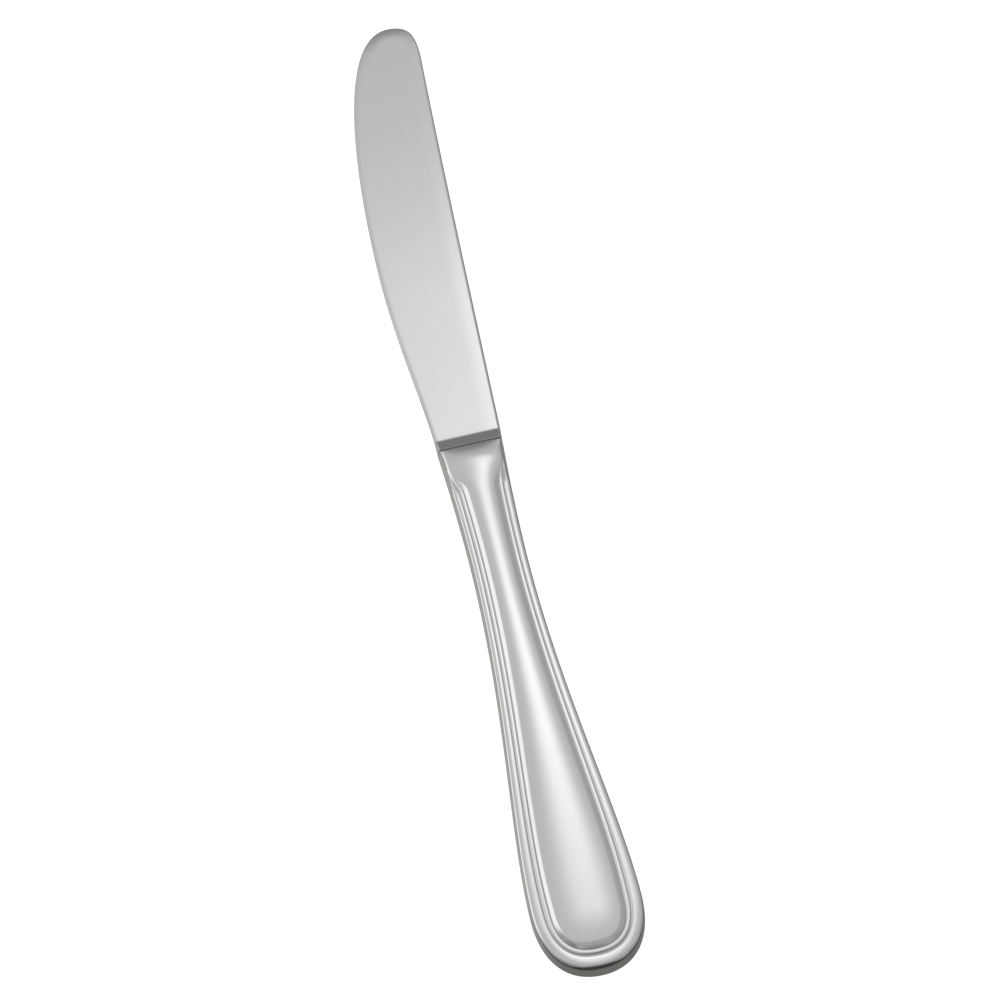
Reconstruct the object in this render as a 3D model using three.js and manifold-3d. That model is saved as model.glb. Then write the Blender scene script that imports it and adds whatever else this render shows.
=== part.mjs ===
// A table knife with a hollow handle. The blade, its sloped bolster and its tang are one forging. Two
// pressed shells, brazed together along their rims, make the handle. A ring of solder closes the joint
// behind the bolster, and a core of cement inside the handle holds the tang.
//
// Sizes are in millimetres. The knife lies on its side: +Y runs from the butt to the tip of the blade,
// +X points to the spine and +Z points up.

import * as THREE from "three";
import { mergeVertices } from "three/addons/utils/BufferGeometryUtils.js";
import loadKernel from "manifold-3d";

const kernel = await loadKernel();
kernel.setup();

// Handle outline, seen from above
const HANDLE_LENGTH = 126.7; // from the end of the butt to the mouth
const BUTT_HALF_WIDTH = 12.68; // at the widest place
const BUTT_WIDEST_AT = 15.8; // distance of that place from the end
const BUTT_FULLNESS = 0.63; // how square the rounded end is
const WAIST_HALF_WIDTH = 6.66; // at the narrowest place
const WAIST_FROM_MOUTH = 28.4; // distance of that place from the mouth
const MOUTH_HALF_WIDTH = 7.65;
const TAPER_PULL_AT_BUTT = 0.24; // share of the taper that stays nearly parallel
const TAPER_PULL_AT_WAIST = 0.42;
const FLARE_PULL = 0.34;
const FLARE_SLOPE = 0.06; // sideways rise of the outline at the mouth

// Handle section
const CREST_HEIGHT = 4.6; // half the thickness of the handle
const CROWN_POWER_AT_END = 3.1; // higher is flatter in the middle and squarer at the sides
const CROWN_POWER_AT_BUTT = 2.31;
const CROWN_POWER_AT_WAIST = 2.04;
const NECK_WALL_TILT = THREE.MathUtils.degToRad(80); // the walls of the squared neck lean in
const MOUTH_WALL_TILT = THREE.MathUtils.degToRad(86); // and are steeper at the mouth
const STEEPENING_LENGTH = 2; // they grow steeper over this stretch before the mouth
const NECK_CORNER_POWER = 4; // higher is a tighter corner between the wall and the top of the neck
const NECK_CAMBER = 0.2; // share of its height that the squared section loses towards the sides
const MOUTH_CAMBER = 0.04; // the same at the very mouth
const SQUARE_NECK_LENGTH = 13.5; // the section starts to turn square this far from the mouth
const SQUARE_MOUTH_LENGTH = 3.3; // and is fully square this far from it
const SQUARE_BORDER_FROM = 0.6; // the border of the neck is square up to this distance from the outline
const SQUARE_BORDER_TO = 2.2; // and like the rest of the section beyond this distance
const LAND_SHARE = 0.15; // share of the half width that is flat along the middle
const NECK_FALL_LENGTH = 12; // the neck falls a little over this stretch before the mouth
const NECK_FALL = 0.045; // share of the height lost there
const NOSE_LENGTH = 5.3; // the last stretch before the mouth, which dips towards the bolster
const NOSE_DIP = 0.165; // share of the height lost there as well
const NOSE_POWER = 3.5; // higher is a dip that starts later and ends steeper

// Threaded border of the handle
const WALL_TILT_AT_END = THREE.MathUtils.degToRad(68.5); // the wall leans in at the end of the butt
const WALL_TILT_AT_SIDE = THREE.MathUtils.degToRad(84);
const BEAD_HEIGHT_AT_SIDE = 3.5; // top of both beads above the seam, from the end to the widest place
const BEAD_HEIGHT_AT_WAIST = 3.72;
const BEAD_CAMBER_AT_END = 1.2; // the outer bead falls this much from its top to the wall as a camber
const BEAD_CAMBER_AT_SIDE = 0.3;
const BEAD_CAMBER_POWER = 2.2;
const BEAD_CORNER_AT_END = 0.05; // and this much more in a tight corner next to the wall
const BEAD_CORNER_AT_SIDE = 0.5;
const BEAD_CORNER_POWER = 8;
const GROOVE_DEPTH = 0.22;
const BEAD_POWER = 4; // higher is flatter on top and steeper on the sides of the grooves
const OUTER_BEAD_AT_END = 4.35; // width at the end of the butt
const OUTER_BEAD_AT_SIDE = 3.1; // width at the widest place
const OUTER_BEAD_AT_WAIST = 1.95;
const INNER_BEAD_AT_END = 1.1;
const INNER_BEAD_AT_SIDE = 1.25;
const INNER_BEAD_AT_WAIST = 1.05;
const BEAD_TOP_AT_END = 0.54; // where the outer bead is highest, as a share of its width
const BEAD_TOP_AT_SIDE = 0.74;
const PANEL_ROLL_AT_END = 1.55; // width of the rounded edge of the panel
const PANEL_ROLL_AT_SIDE = 1.2;
const ROLL_POWER_AT_END = 1.15; // higher is steeper next to the groove
const ROLL_POWER_AT_SIDE = 1.5;
const THREADS_FROM_MOUTH = 6.3; // plain neck between the mouth and the threads
const RUNOUT_LENGTH = 5.5; // the threads swing to the side and die away over this stretch
const LEAST_SWING = 0.4; // share of their width that is left at the end

// Shells, braze, solder and core
const WALL = 0.8; // thickness of the pressed shells
const BRAZE_THICKNESS = 0.2;
const BRAZE_INSET = 0.1; // the braze lies this far below the surface
const SOLDER_THICKNESS = 0.3;
const SOLDER_INSET = 0.15;
const CORE_CLEARANCE = 0.3; // around the core, to the shells and to the tang

// Bolster and tang
const BOLSTER_LENGTH = 2.9;
const TANG_LENGTH = 58; // behind the mouth
const TANG_HALF_WIDTH = 3.4;
const TANG_END_HALF_WIDTH = 2.4;
const TANG_THICKNESS = 2.4;
const NOTCH_RADIUS = 0.9;
const NOTCH_SPACING = 13;
const NOTCH_PAIRS = 3;

// Blade outline, measured from the foot of the bolster and from the axis of the handle
const BLADE_LENGTH = 105.1;
const HEEL_TO_EDGE = 7.65;
const HEEL_TO_SPINE = 7.85;
const BELLY_TO_EDGE = 10.8; // the widest place of the cutting edge
const BELLY_AT = 44; // distance of that place from the heel
const TIP_TO_SPINE = 11.45; // the spine just below the rounded tip
const TIP_CORNER = 8.6; // length of the rounded corner between spine and tip
const TIP_OFFSET = 5.2; // the farthest point of the tip lies this far from the axis

// Blade section
const SPINE_HALF_THICKNESS = 1.15; // at the heel
const EDGE_HALF_THICKNESS = 1.05; // at the heel, before the edge is rounded
const TIP_HALF_THICKNESS = 0.8;
const LEAST_HALF_THICKNESS = 0.12;
const EDGE_ROUNDING = 0.8; // width of the rounded border around the blade
const EDGE_WALL_SHARE = 0.5; // share of the thickness left as a wall at the very edge

const { lerp, smoothstep, clamp } = THREE.MathUtils;
const waistAt = HANDLE_LENGTH - WAIST_FROM_MOUTH;
const bolsterBack = HANDLE_LENGTH + SOLDER_THICKNESS;
const heelAt = bolsterBack + BOLSTER_LENGTH;
const tipAt = heelAt + BLADE_LENGTH;

// Solids

function solidOf(geometry) {
  const bare = new THREE.BufferGeometry();
  bare.setAttribute("position", geometry.getAttribute("position"));
  bare.setIndex(geometry.getIndex());
  const welded = mergeVertices(bare, 1e-4);
  const mesh = new kernel.Mesh({
    numProp: 3,
    vertProperties: Float32Array.from(welded.getAttribute("position").array),
    triVerts: Uint32Array.from(welded.getIndex().array),
  });
  mesh.merge();
  return new kernel.Manifold(mesh);
}

function geometryOf(solid) {
  const mesh = solid.getMesh();
  const geometry = new THREE.BufferGeometry();
  geometry.setAttribute("position", new THREE.BufferAttribute(mesh.vertProperties, mesh.numProp));
  geometry.setIndex(new THREE.BufferAttribute(mesh.triVerts, 1));
  const flat = geometry.toNonIndexed();
  flat.computeVertexNormals();
  return flat;
}

function geometryFrom(points, faces) {
  const geometry = new THREE.BufferGeometry();
  geometry.setFromPoints(points);
  geometry.setIndex(faces.flat());
  return geometry;
}

// Handle outline as ribs. A rib starts on the outline and runs straight in to the middle line of the
// handle, or, around the butt, to the point where the middle line ends.

function outlineOfOneSide([neckSteps, sideSteps, buttSteps]) {
  const taper = waistAt - BUTT_WIDEST_AT;
  const flarePull = WAIST_FROM_MOUTH * FLARE_PULL;
  const at = (x, y) => new THREE.Vector2(x, y);
  const neck = new THREE.CubicBezierCurve(
    at(MOUTH_HALF_WIDTH, HANDLE_LENGTH),
    at(MOUTH_HALF_WIDTH - FLARE_SLOPE * flarePull, HANDLE_LENGTH - flarePull),
    at(WAIST_HALF_WIDTH, waistAt + flarePull),
    at(WAIST_HALF_WIDTH, waistAt),
  );
  const side = new THREE.CubicBezierCurve(
    at(WAIST_HALF_WIDTH, waistAt),
    at(WAIST_HALF_WIDTH, waistAt - taper * TAPER_PULL_AT_WAIST),
    at(BUTT_HALF_WIDTH, BUTT_WIDEST_AT + taper * TAPER_PULL_AT_BUTT),
    at(BUTT_HALF_WIDTH, BUTT_WIDEST_AT),
  );
  const butt = new THREE.CubicBezierCurve(
    at(BUTT_HALF_WIDTH, BUTT_WIDEST_AT),
    at(BUTT_HALF_WIDTH, BUTT_WIDEST_AT * (1 - BUTT_FULLNESS)),
    at(BUTT_HALF_WIDTH * BUTT_FULLNESS, 0),
    at(0, 0),
  );
  return [
    ...neck.getPoints(neckSteps),
    ...side.getPoints(sideSteps).slice(1),
    ...butt.getPoints(buttSteps).slice(1),
  ];
}

function ribAt(edge) {
  const middle = new THREE.Vector2(0, Math.max(edge.y, BUTT_WIDEST_AT));
  const length = middle.distanceTo(edge);
  const alongTaper = clamp((edge.y - BUTT_WIDEST_AT) / (waistAt - BUTT_WIDEST_AT), 0, 1);
  const narrowing = 1 - (1 - alongTaper) ** 2;
  const alongEnd = edge.y < BUTT_WIDEST_AT ? 1 - (edge.x / BUTT_HALF_WIDTH) ** 2 : 0;
  const toMouth = HANDLE_LENGTH - edge.y;
  const falling = clamp(1 - toMouth / NECK_FALL_LENGTH, 0, 1) ** 1.5;
  const dipping = clamp(1 - toMouth / NOSE_LENGTH, 0, 1) ** NOSE_POWER;
  const steepening = clamp(1 - toMouth / STEEPENING_LENGTH, 0, 1) ** 2;
  const runout = clamp(1 - (toMouth - THREADS_FROM_MOUTH) / RUNOUT_LENGTH, 0, 1);
  const swing = Math.max(Math.sqrt(1 - runout ** 2), LEAST_SWING);
  const outerOnSide = lerp(OUTER_BEAD_AT_SIDE, OUTER_BEAD_AT_WAIST, narrowing);
  const innerOnSide = lerp(INNER_BEAD_AT_SIDE, INNER_BEAD_AT_WAIST, alongTaper);
  const powerOnTaper = lerp(CROWN_POWER_AT_BUTT, CROWN_POWER_AT_WAIST, alongTaper);
  const outer = lerp(outerOnSide, OUTER_BEAD_AT_END, alongEnd) * swing;
  const beadHeight = lerp(BEAD_HEIGHT_AT_SIDE, BEAD_HEIGHT_AT_WAIST, alongTaper);
  const beadCamber = lerp(BEAD_CAMBER_AT_SIDE, BEAD_CAMBER_AT_END, alongEnd);
  const beadCorner = lerp(BEAD_CORNER_AT_SIDE, BEAD_CORNER_AT_END, alongEnd);
  const wallHeight = beadHeight - beadCamber - beadCorner;
  const wallTilt = lerp(WALL_TILT_AT_SIDE, WALL_TILT_AT_END, alongEnd);
  return {
    edge,
    length,
    inward: middle.sub(edge).normalize(),
    outer,
    inner: lerp(innerOnSide, INNER_BEAD_AT_END, alongEnd) * swing,
    beadTop: outer * lerp(BEAD_TOP_AT_SIDE, BEAD_TOP_AT_END, alongEnd),
    beadHeight,
    beadCamber,
    beadCorner,
    wallTilt,
    wallTop: (wallHeight - BRAZE_THICKNESS / 2) / Math.tan(wallTilt),
    roll: lerp(PANEL_ROLL_AT_SIDE, PANEL_ROLL_AT_END, alongEnd),
    rollPower: lerp(ROLL_POWER_AT_SIDE, ROLL_POWER_AT_END, alongEnd),
    power: lerp(powerOnTaper, CROWN_POWER_AT_END, alongEnd),
    squaring: 1 - smoothstep(toMouth, SQUARE_MOUTH_LENGTH, SQUARE_NECK_LENGTH),
    neckCamber: lerp(NECK_CAMBER, MOUTH_CAMBER, dipping),
    neckTilt: lerp(NECK_WALL_TILT, MOUTH_WALL_TILT, steepening),
    relief: 1 - smoothstep(runout, 0.1, 0.95),
    nose: 1 - NECK_FALL * falling - NOSE_DIP * dipping,
  };
}

// How many ribs the neck, the taper and the butt have on each side
const OUTSIDE_STEPS = [15, 14, 12];
const INSIDE_STEPS = [6, 8, 6];

// All ribs from the mouth down the spine side, round the butt and back up the edge side. The mouth is
// moved by the given distance.
function allRibs(steps, mouthShift) {
  const outline = outlineOfOneSide(steps);
  if (mouthShift > 0) {
    outline.unshift(new THREE.Vector2(MOUTH_HALF_WIDTH, HANDLE_LENGTH + mouthShift));
  } else {
    outline[0].y += mouthShift;
  }
  const otherSide = outline.slice(0, -1).map((point) => new THREE.Vector2(-point.x, point.y));
  return [...outline, ...otherSide.reverse()].map(ribAt);
}

function pointOnRib(rib, inset, height) {
  const place = rib.edge.clone().addScaledVector(rib.inward, inset);
  return new THREE.Vector3(place.x, place.y, height);
}

// Squared section of the neck, as a share of the crest: the lesser of a leaning wall and a cambered top,
// with a rounded corner between them.
function squareSection(rib, inset, share) {
  const wall = (inset * Math.tan(rib.neckTilt)) / CREST_HEIGHT;
  const top = 1 - rib.neckCamber * share ** 2;
  const sum = wall ** NECK_CORNER_POWER + top ** NECK_CORNER_POWER;
  return (wall * top) / sum ** (1 / NECK_CORNER_POWER);
}

// Height of the handle's surface above the seam, at a distance in from the outline. The crown is a
// flattened oval, which turns into the squared section in the neck.
function crownHeight(rib, inset) {
  const share = Math.max(0, 1 - inset / rib.length);
  const oval = (1 - share ** rib.power) ** (1 / rib.power);
  const onBorder = 1 - smoothstep(inset, SQUARE_BORDER_FROM, SQUARE_BORDER_TO);
  return CREST_HEIGHT * lerp(oval, squareSection(rib, inset, share), Math.max(rib.squaring, onBorder));
}

// The border: a leaning wall that turns into the outer bead in a corner, a groove, the inner bead, a
// second groove, then the rounded rise to the crown.
function threadedHeight(rib, inset) {
  const panelStart = rib.outer + rib.inner;
  if (inset < rib.beadTop) {
    const toTop = (rib.beadTop - inset) / (rib.beadTop - rib.wallTop);
    const fallen = rib.beadCamber * toTop ** BEAD_CAMBER_POWER;
    return rib.beadHeight - fallen - rib.beadCorner * toTop ** BEAD_CORNER_POWER;
  }
  if (inset < rib.outer) {
    const pastTop = (inset - rib.beadTop) / (rib.outer - rib.beadTop);
    return rib.beadHeight - GROOVE_DEPTH * pastTop ** BEAD_POWER;
  }
  if (inset < panelStart) {
    const fromMiddle = Math.abs((2 * (inset - rib.outer)) / rib.inner - 1);
    return rib.beadHeight - GROOVE_DEPTH * fromMiddle ** BEAD_POWER;
  }
  const step = crownHeight(rib, panelStart) - rib.beadHeight + GROOVE_DEPTH;
  const left = Math.max(0, 1 - (inset - panelStart) / rib.roll);
  return crownHeight(rib, inset) - step * left ** rib.rollPower;
}

function surfaceHeight(rib, inset) {
  return rib.nose * lerp(crownHeight(rib, inset), threadedHeight(rib, inset), rib.relief);
}

// Points of a rib from the top of the wall to the land, as distance in and height.
function outsideProfile(rib) {
  const panelStart = rib.outer + rib.inner;
  const panel = panelStart + rib.roll;
  const land = rib.length * (1 - LAND_SHARE);
  const insets = [
    rib.wallTop,
    lerp(rib.wallTop, rib.beadTop, 0.25),
    lerp(rib.wallTop, rib.beadTop, 0.55),
    rib.beadTop,
    rib.outer,
    rib.outer + rib.inner / 2,
    panelStart,
    panelStart + rib.roll * 0.5,
    panel,
    lerp(panel, land, 0.5),
  ];
  return [...insets.map((inset) => [inset, surfaceHeight(rib, inset)]), [land, CREST_HEIGHT * rib.nose]];
}

// How far the foot of the inside lies from the outline, measured across the leaning wall.
function rimWidth(rib, clearance) {
  return (WALL + clearance) / Math.sin(rib.wallTilt);
}

// The inside of the shell keeps a wall under the lowest groove. The core's skin uses the same line,
// set in by its clearance.
function insideProfile(rib, clearance) {
  const wall = WALL + clearance;
  const rim = rimWidth(rib, clearance);
  const shelf = rib.beadHeight - GROOVE_DEPTH - wall;
  const land = rib.length * (1 - LAND_SHARE);
  const shelfEnd = rib.outer + rib.inner + wall * 0.4;
  const panel = Math.min(rib.outer + rib.inner + rib.roll + wall, lerp(shelfEnd, land, 0.7));
  const middle = lerp(panel, land, 0.5);
  return [
    [rim + (shelf * 0.7) / Math.tan(rib.wallTilt), shelf * 0.7],
    [lerp(rim, shelfEnd, 0.35), shelf],
    [shelfEnd, shelf],
    [panel, crownHeight(rib, panel) - wall],
    [middle, crownHeight(rib, middle) - wall],
    [land, CREST_HEIGHT - wall],
  ].map(([inset, height]) => [inset, height * rib.nose]);
}

// A closed half handle on a flat floor. Every rib gives a row of points that starts at the floor and ends
// on the land. Opposite ribs are joined across the land, across the floor and across the mouth.
function halfHandle(ribs, edgeInset, floor, profile) {
  const rows = ribs.map((rib) => [
    pointOnRib(rib, edgeInset(rib), floor),
    ...profile(rib).map(([inset, height]) => pointOnRib(rib, inset, height)),
  ]);
  const count = rows[0].length;
  const last = rows.length - 1;
  const id = (row, column) => row * count + column;
  const faces = [];
  const quad = (a, b, c, d) => faces.push([a, b, c], [a, c, d]);
  for (let row = 0; row < last; row += 1) {
    for (let column = 0; column < count - 1; column += 1) {
      quad(id(row, column), id(row, column + 1), id(row + 1, column + 1), id(row + 1, column));
    }
  }
  for (let column = 0; column < count - 1; column += 1) {
    quad(id(0, column), id(last, column), id(last, column + 1), id(0, column + 1));
  }
  const top = count - 1;
  const butt = last / 2;
  for (let row = 0; row < butt - 1; row += 1) {
    quad(id(row, top), id(last - row, top), id(last - row - 1, top), id(row + 1, top));
    quad(id(row, 0), id(row + 1, 0), id(last - row - 1, 0), id(last - row, 0));
  }
  faces.push([id(butt - 1, top), id(butt + 1, top), id(butt, top)]);
  faces.push([id(butt - 1, 0), id(butt, 0), id(butt + 1, 0)]);
  return solidOf(geometryFrom(rows.flat(), faces));
}

function shellSolid() {
  const outside = halfHandle(allRibs(OUTSIDE_STEPS, 0), () => 0, BRAZE_THICKNESS / 2, outsideProfile);
  const vault = (rib) => insideProfile(rib, 0);
  const cavity = halfHandle(allRibs(INSIDE_STEPS, 1), (rib) => rimWidth(rib, 0), 0, vault);
  return outside.subtract(cavity);
}

// The braze follows the outline as a flat strip, open at the mouth.
function brazeSolid() {
  const plan = (rib, inset) => rib.edge.clone().addScaledVector(rib.inward, inset);
  const outer = allRibs(OUTSIDE_STEPS, 0).map((rib) => plan(rib, BRAZE_INSET));
  const inner = allRibs(INSIDE_STEPS, 0).map((rib) => plan(rib, WALL)).reverse();
  const strip = new THREE.ExtrudeGeometry(new THREE.Shape([...outer, ...inner]), {
    depth: BRAZE_THICKNESS,
    bevelEnabled: false,
  });
  strip.translate(0, 0, -BRAZE_THICKNESS / 2);
  return solidOf(strip);
}

// Section of the mouth as a closed ring, with X across and Y up, from a profile of its first rib.
function mouthRing(profile, edgeInset) {
  const [rib] = allRibs(OUTSIDE_STEPS, 0);
  const line = profile(rib).map(([inset, height]) => [rib.length - inset, height]);
  const upper = [[rib.length - edgeInset, 0], ...line];
  const quarterBack = line.slice().reverse();
  const ring = [
    ...upper,
    ...quarterBack.map(([x, z]) => [-x, z]),
    [-(rib.length - edgeInset), 0],
    ...line.map(([x, z]) => [-x, -z]),
    ...quarterBack.map(([x, z]) => [x, -z]),
  ];
  return ring.map(([x, z]) => new THREE.Vector2(x, z));
}

// Extrudes a section drawn with X across and Y up, from one place along the knife to another.
function alongKnife(shape, from, depth) {
  const geometry = new THREE.ExtrudeGeometry(shape, { depth, bevelEnabled: false });
  geometry.rotateX(Math.PI / 2);
  geometry.translate(0, from + depth, 0);
  return geometry;
}

function solderSolid() {
  const whole = mouthRing(outsideProfile, 0);
  const share = 1 - SOLDER_INSET / MOUTH_HALF_WIDTH;
  const drop = 1 - SOLDER_INSET / CREST_HEIGHT;
  const shape = new THREE.Shape(whole.map((point) => new THREE.Vector2(point.x * share, point.y * drop)));
  shape.holes.push(new THREE.Path(mouthRing((rib) => insideProfile(rib, 0), WALL)));
  return solidOf(alongKnife(shape, HANDLE_LENGTH, SOLDER_THICKNESS));
}

// The tang lies in the plane of the seam, with rounded notches along both sides. Grown, it is the pocket
// in the core.
function tangSolid(grow) {
  const front = bolsterBack + BOLSTER_LENGTH / 3;
  const back = HANDLE_LENGTH - TANG_LENGTH - grow;
  const widthAt = (y) => grow + lerp(TANG_END_HALF_WIDTH, TANG_HALF_WIDTH, (y - back) / (front - back));
  const radius = NOTCH_RADIUS - grow;
  const side = [new THREE.Vector2(widthAt(front), front)];
  for (let pair = 0; pair < NOTCH_PAIRS; pair += 1) {
    const y = HANDLE_LENGTH - TANG_LENGTH + NOTCH_SPACING * (NOTCH_PAIRS - pair);
    for (let step = 0; step <= 6; step += 1) {
      const angle = (Math.PI * step) / 6;
      side.push(new THREE.Vector2(widthAt(y) - radius * Math.sin(angle), y + radius * Math.cos(angle)));
    }
  }
  side.push(new THREE.Vector2(widthAt(back), back));
  const otherSide = side.map((point) => new THREE.Vector2(-point.x, point.y)).reverse();
  const depth = TANG_THICKNESS + 2 * grow;
  const geometry = new THREE.ExtrudeGeometry(new THREE.Shape([...side, ...otherSide]), {
    depth,
    bevelEnabled: false,
  });
  geometry.translate(0, 0, -depth / 2);
  return solidOf(geometry);
}

function coreSolid() {
  const ribs = allRibs(INSIDE_STEPS, -CORE_CLEARANCE);
  const skirt = 0.05; // the halves overlap by this on each side of the seam before they are joined
  const skin = (rib) => insideProfile(rib, CORE_CLEARANCE);
  const upper = halfHandle(ribs, (rib) => rimWidth(rib, CORE_CLEARANCE), -skirt, skin);
  const lower = upper.rotate([0, 180, 0]);
  return upper.add(lower).subtract(tangSolid(CORE_CLEARANCE));
}

// Half the thickness of the blade: a flat flank that thins from spine to edge and from heel to tip.
function halfThickness(x, y) {
  const across = (SPINE_HALF_THICKNESS - EDGE_HALF_THICKNESS) / (HEEL_TO_SPINE + HEEL_TO_EDGE);
  const atAxis = SPINE_HALF_THICKNESS - across * HEEL_TO_SPINE;
  const along = (TIP_HALF_THICKNESS - atAxis - across * TIP_OFFSET) / BLADE_LENGTH;
  return Math.max(LEAST_HALF_THICKNESS, atAxis + across * x + along * (y - heelAt));
}

function bladeShape() {
  const root = heelAt - BOLSTER_LENGTH / 3;
  const bellyY = heelAt + BELLY_AT;
  const rest = tipAt - bellyY;
  const cornerY = tipAt - TIP_CORNER;
  const spine = cornerY - heelAt;
  const spineGain = TIP_TO_SPINE - HEEL_TO_SPINE;
  const shape = new THREE.Shape();
  shape.moveTo(-HEEL_TO_EDGE, root);
  shape.lineTo(HEEL_TO_SPINE, root);
  shape.lineTo(HEEL_TO_SPINE, heelAt);
  shape.bezierCurveTo(
    HEEL_TO_SPINE + spineGain * 0.29,
    heelAt + spine * 0.33,
    HEEL_TO_SPINE + spineGain * 0.63,
    heelAt + spine * 0.74,
    TIP_TO_SPINE,
    cornerY,
  );
  shape.bezierCurveTo(
    TIP_TO_SPINE,
    lerp(cornerY, tipAt, 0.6),
    lerp(TIP_OFFSET, TIP_TO_SPINE, 0.9),
    tipAt,
    TIP_OFFSET,
    tipAt,
  );
  shape.bezierCurveTo(
    lerp(TIP_OFFSET, -BELLY_TO_EDGE, 0.73),
    tipAt,
    -BELLY_TO_EDGE,
    bellyY + rest * 0.49,
    -BELLY_TO_EDGE,
    bellyY,
  );
  shape.bezierCurveTo(
    -BELLY_TO_EDGE,
    bellyY - BELLY_AT * 0.39,
    lerp(-HEEL_TO_EDGE, -BELLY_TO_EDGE, 0.11),
    heelAt + BELLY_AT * 0.25,
    -HEEL_TO_EDGE,
    heelAt,
  );
  return shape;
}

// The blade is cut from a flat plate with a rounded border, then thinned: each point keeps its share of
// the plate's thickness.
function bladeSolid() {
  const plate = new THREE.ExtrudeGeometry(bladeShape(), {
    curveSegments: 16,
    depth: 2 * EDGE_WALL_SHARE,
    bevelSize: EDGE_ROUNDING,
    bevelOffset: -EDGE_ROUNDING,
    bevelThickness: 1 - EDGE_WALL_SHARE,
    bevelSegments: 3,
  });
  const place = plate.getAttribute("position");
  for (let i = 0; i < place.count; i += 1) {
    const share = place.getZ(i) - EDGE_WALL_SHARE;
    place.setZ(i, share * halfThickness(place.getX(i), place.getY(i)));
  }
  return solidOf(plate);
}

// The bolster slopes from the section of the mouth down to the flank of the blade.
function bolsterSolid() {
  const back = mouthRing(outsideProfile, 0);
  const front = back.map((point) => {
    const x = (point.x / MOUTH_HALF_WIDTH) * (point.x > 0 ? HEEL_TO_SPINE : HEEL_TO_EDGE);
    const reach = halfThickness(x, heelAt) * 0.95;
    return new THREE.Vector2(x, clamp(point.y, -reach, reach));
  });
  const points = [
    ...back.map((point) => new THREE.Vector3(point.x, bolsterBack, point.y)),
    ...front.map((point) => new THREE.Vector3(point.x, heelAt, point.y)),
  ];
  const count = back.length;
  const faces = [];
  for (let i = 0; i < count; i += 1) {
    const next = (i + 1) % count;
    faces.push([i, count + i, count + next], [i, count + next, next]);
  }
  THREE.ShapeUtils.triangulateShape(back, []).forEach(([a, b, c]) => faces.push([a, b, c]));
  THREE.ShapeUtils.triangulateShape(front, []).forEach(([a, b, c]) => {
    faces.push([count + a, count + c, count + b]);
  });
  return solidOf(geometryFrom(points, faces));
}

// Pieces

const blade = new THREE.Mesh(
  geometryOf(bladeSolid().add(bolsterSolid()).add(tangSolid(0))),
  new THREE.MeshStandardMaterial({ color: 0xc9c9c7, roughness: 0.3, metalness: 1 }),
);
blade.name = "blade";

const shell = geometryOf(shellSolid());

const frontShell = new THREE.Mesh(
  shell,
  new THREE.MeshStandardMaterial({ color: 0xd2d1ce, roughness: 0.12, metalness: 1 }),
);
frontShell.name = "front_shell";

const backShell = new THREE.Mesh(
  shell,
  new THREE.MeshStandardMaterial({ color: 0xd2d1ce, roughness: 0.12, metalness: 1 }),
);
backShell.name = "back_shell";
backShell.rotation.y = Math.PI;

const seamBraze = new THREE.Mesh(
  geometryOf(brazeSolid()),
  new THREE.MeshStandardMaterial({ color: 0xb9ad92, roughness: 0.35, metalness: 1 }),
);
seamBraze.name = "seam_braze";

const bolsterSolder = new THREE.Mesh(
  geometryOf(solderSolid()),
  new THREE.MeshStandardMaterial({ color: 0x8f8c86, roughness: 0.4, metalness: 1 }),
);
bolsterSolder.name = "bolster_solder";

const tangCore = new THREE.Mesh(
  geometryOf(coreSolid()),
  new THREE.MeshStandardMaterial({ color: 0xa59d90, roughness: 0.95, metalness: 0 }),
);
tangCore.name = "tang_core";

// The origin is under the middle of the knife, on the surface it lies on.
const knife = new THREE.Group();
knife.name = "table_knife";
knife.add(blade, frontShell, backShell, seamBraze, bolsterSolder, tangCore);
knife.position.set(0, -tipAt / 2, CREST_HEIGHT);

export default knife;
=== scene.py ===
# %% [markdown]
# # A table knife with a hollow handle
#
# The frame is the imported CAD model: its pieces are at their real size and place, with flat facets.
# This lesson gives them their fine surfaces and finishes. Nothing is moved or resized, so every
# surface below is worked out in the same frame: +Y runs from the butt to the tip, +X points to the
# spine, and the knife lies on its side on the plane of zero height.

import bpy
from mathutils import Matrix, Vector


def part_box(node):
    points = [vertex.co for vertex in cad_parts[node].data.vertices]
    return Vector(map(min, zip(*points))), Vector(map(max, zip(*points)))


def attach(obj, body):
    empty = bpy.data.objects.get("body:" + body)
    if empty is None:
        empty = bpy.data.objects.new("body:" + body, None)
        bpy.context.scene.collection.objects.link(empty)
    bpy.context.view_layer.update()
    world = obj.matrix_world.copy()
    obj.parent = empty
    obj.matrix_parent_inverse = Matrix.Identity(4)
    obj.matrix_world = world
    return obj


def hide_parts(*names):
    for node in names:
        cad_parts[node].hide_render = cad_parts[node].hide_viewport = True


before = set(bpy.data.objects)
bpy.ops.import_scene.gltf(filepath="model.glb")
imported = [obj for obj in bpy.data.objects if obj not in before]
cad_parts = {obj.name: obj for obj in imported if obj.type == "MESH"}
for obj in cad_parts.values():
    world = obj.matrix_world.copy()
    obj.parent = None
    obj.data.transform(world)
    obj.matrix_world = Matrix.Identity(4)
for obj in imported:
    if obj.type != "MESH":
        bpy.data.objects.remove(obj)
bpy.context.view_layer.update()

import math

import bmesh
import bpy
import numpy as np
from mathutils import Vector

print("nodes in the frame:", sorted(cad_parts))

# %% [markdown]
# ## Sizes
#
# The surfaces are drawn in millimetres in the knife's own frame, whose origin is the end of the butt
# in the plane of the seam. The lengths of the pieces come from the boxes of the CAD nodes, so the
# surfaces stay with the frame. `to_frame` turns drawn points into metres in the shared frame.

# %% Measure the frame
MM = 0.001
handle_low, handle_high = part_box("front_shell")
solder_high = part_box("bolster_solder")[1]
blade_low, blade_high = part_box("blade")

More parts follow.
